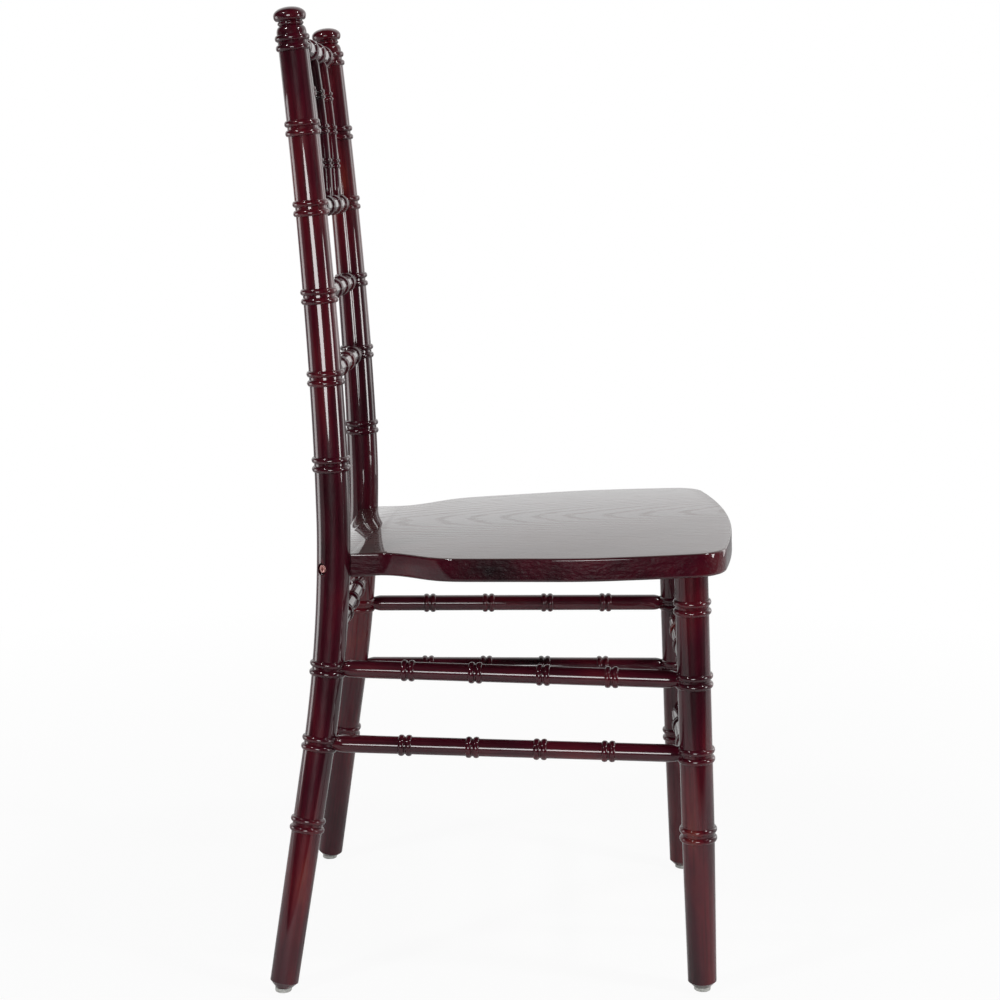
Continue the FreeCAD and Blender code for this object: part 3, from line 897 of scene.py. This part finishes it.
for side in sides.values():
    start = Matrix.Translation(post_line(screw_height, side))
    turned = start @ screw_way(side).to_track_quat("Z", "Y").to_matrix().to_4x4()
    rims = []
    for number, (radius, depth) in enumerate(outline):
        rim = []
        for facet in range(screw_facets):
            angle = 2 * math.pi * facet / screw_facets
            reach = radius
            if number < hexagon_rims:
                sixth = angle % (math.pi / 3) - math.pi / 6
                reach = radius * math.cos(math.pi / 6) / math.cos(sixth)
            spot = Vector((reach * math.cos(angle), reach * math.sin(angle), depth))
            rim.append(screws.verts.new(turned @ spot))
        rims.append(rim)
    for upper, lower in zip(rims, rims[1:]):
        for facet in range(screw_facets):
            face = screws.faces.new((upper[facet - 1], upper[facet], lower[facet], lower[facet - 1]))
            face.smooth = True
    screws.faces.new(rims[0])
    screws.faces.new(reversed(rims[-1]))
screw_mesh = bpy.data.meshes.new("screws_painted")
screws.to_mesh(screw_mesh)
screws.free()
screw_mesh.materials.append(screw_paint)
screw_pair = bpy.data.objects.new("screws_painted", screw_mesh)
bpy.context.scene.collection.objects.link(screw_pair)
hand_over(screw_pair, "seat_screws")

# A pale plastic glide is nailed under each foot. It is a disc with a rounded lower edge,
# turned by the same lathe without any rings.
glide_radius = 0.008
glide_edge = 0.0012
glide_edge_steps = 7
glide_bevel = 0.0002
glide_plastic = blank_material("glide_plastic_pale")
tree = Tree(glide_plastic.node_tree)
place = tree.add("ShaderNodeTexCoord")["Object"]
scuff = noise(tree, place, 700.0, 3.0)
plastic_stops = [(0.0, (0.40, 0.40, 0.38)), (1.0, (0.62, 0.63, 0.60))]
shade = tree.add("ShaderNodeValToRGB", {"stops": plastic_stops}, {
    "Fac": scuff.between(0.35, 0.65)})["Color"]
shader = tree.add("ShaderNodeBsdfPrincipled", None, {
    "Base Color": shade, "Roughness": 0.42 + scuff * 0.2})["BSDF"]
tree.add("ShaderNodeOutputMaterial", None, {"Surface": shader})
no_rings = (0.0, 0.001, 0.001)
outline = []
for number in range(glide_edge_steps + 1):
    turn_angle = math.pi / 2 * number / glide_edge_steps
    outline.append((
        glide_edge * (1 - math.cos(turn_angle)),
        glide_radius - glide_edge * (1 - math.sin(turn_angle)),
    ))
outline += [(glide_thickness - glide_bevel, glide_radius), (glide_thickness, glide_radius - glide_bevel)]
for name, line in {"rear": post_line, "front": leg_line}.items():
    for side_name, side in sides.items():
        foot = line(glide_thickness, side)
        placed = [(Vector((foot.x, foot.y, height)), radius, False) for height, radius in outline]
        node = name + "_glide_" + side_name
        hand_over(turn(node, placed, no_rings, glide_plastic), node)

# The floor is a pale paper sweep under the chair that ends on the camera's side, with a dark
# floor beyond. Seen by the camera it glows nearly white, and the rest of it keeps the shadow.
floor_reach = 12.0
floor_glow_near = 0.93
floor_glow_far = 1.0
floor_mesh = bpy.data.meshes.new("floor")
corners = [(x * floor_reach, y * floor_reach, 0) for x, y in ((-1, -1), (1, -1), (1, 1), (-1, 1))]
floor_mesh.from_pydata(corners, [], [(0, 1, 2, 3)])
floor = bpy.data.objects.new("floor", floor_mesh)
bpy.context.scene.collection.objects.link(floor)
floor_paint = blank_material("floor_paint")
tree = Tree(floor_paint.node_tree)
place = tree.add("ShaderNodeTexCoord")["Object"]
distance = tree.add("ShaderNodeVectorMath", {"operation": "LENGTH"}, {"Vector": place})["Value"]
far = distance.between(0.5, 1.6)
seen = tree.add("ShaderNodeLightPath")["Is Camera Ray"]
parts = tree.add("ShaderNodeSeparateXYZ", None, {"Vector": place})
sweep = (parts["X"] * 0.95 + parts["Y"] * 0.31).between(-0.92, -0.74)
pale = tree.add("ShaderNodeBsdfDiffuse", None, {"Color": (0.80, 0.80, 0.80, 1.0)})["BSDF"]
dark = tree.add("ShaderNodeBsdfDiffuse", None, {"Color": (0.012, 0.010, 0.011, 1.0)})["BSDF"]
paint = tree.add("ShaderNodeMixShader", None, {"Fac": sweep, 1: dark, 2: pale})["Shader"]
glow = tree.add("ShaderNodeEmission", None, {"Color": (1.0, 1.0, 1.0, 1.0), "Strength": 1.0})["Emission"]
share_seen = seen * (floor_glow_near + (floor_glow_far - floor_glow_near) * far)
mixed = tree.add("ShaderNodeMixShader", None, {"Fac": share_seen, 1: paint, 2: glow})["Shader"]
tree.add("ShaderNodeOutputMaterial", None, {"Surface": mixed})
floor_mesh.materials.append(floor_paint)

# The studio is a dark room with a white wall behind the chair, which is what its lacquer mirrors.
# The camera itself sees white all round.
wall_bearing = math.radians(168)
wall_light = 0.90
room_light = 0.015
world = bpy.data.worlds.new("studio")
world.use_nodes = True
world.node_tree.nodes.clear()
bpy.context.scene.world = world
tree = Tree(world.node_tree)
direction = tree.add("ShaderNodeTexCoord")["Generated"]
wall = (-math.cos(wall_bearing), -math.sin(wall_bearing), 0.0)
facing = tree.add("ShaderNodeVectorMath", {"operation": "DOT_PRODUCT"}, {0: direction, 1: wall})["Value"]
behind = facing.between(0.25, 0.50)
seen = tree.add("ShaderNodeLightPath")["Is Camera Ray"]
strength = seen + (1 - seen) * (room_light + wall_light * behind)
room = tree.add("ShaderNodeBackground", None, {
    "Color": (1.0, 1.0, 1.0, 1.0), "Strength": strength})["Background"]
tree.add("ShaderNodeOutputWorld", None, {"Surface": room})


# Two wide oval lamps low down draw the broad bright lines along the posts and legs. Two small
# lamps high up put a dot on every bead, and a panel on each side lights the ends of the chair.
def lamp(name, bearing, distance, height, aim_height, width, tall, power, shape="RECTANGLE"):
    """A soft box that faces the chair; bearing 0 is on the camera's side and 90 in front of the chair."""
    turn_angle = math.radians(bearing)
    light = bpy.data.lights.new(name, "AREA")
    light.shape = shape
    light.size = width
    light.size_y = tall
    light.energy = power
    item = bpy.data.objects.new(name, light)
    place = Vector((-math.cos(turn_angle) * distance, -math.sin(turn_angle) * distance, height))
    aim = place - Vector((0, 0, aim_height))
    item.matrix_world = Matrix.Translation(place) @ aim.to_track_quat("Z", "Y").to_matrix().to_4x4()
    bpy.context.scene.collection.objects.link(item)


lamp("high_rear", -47, 2.06, 2.4, 0.5, 0.25, 0.25, 20)
lamp("high_front", 66, 1.73, 2.3, 0.5, 0.25, 0.25, 16)
lamp("umbrella_middle", -5, 2.74, 0.56, 0.56, 1.15, 0.66, 26, "ELLIPSE")
lamp("umbrella_front", 70, 2.29, 0.56, 0.56, 0.55, 0.66, 12, "ELLIPSE")
lamp("panel_rear", -98, 2.0, 0.42, 0.42, 0.8, 0.7, 6)
lamp("panel_front", 126, 2.0, 0.8, 0.7, 0.6, 1.3, 5)

bpy.context.view_layer.update()
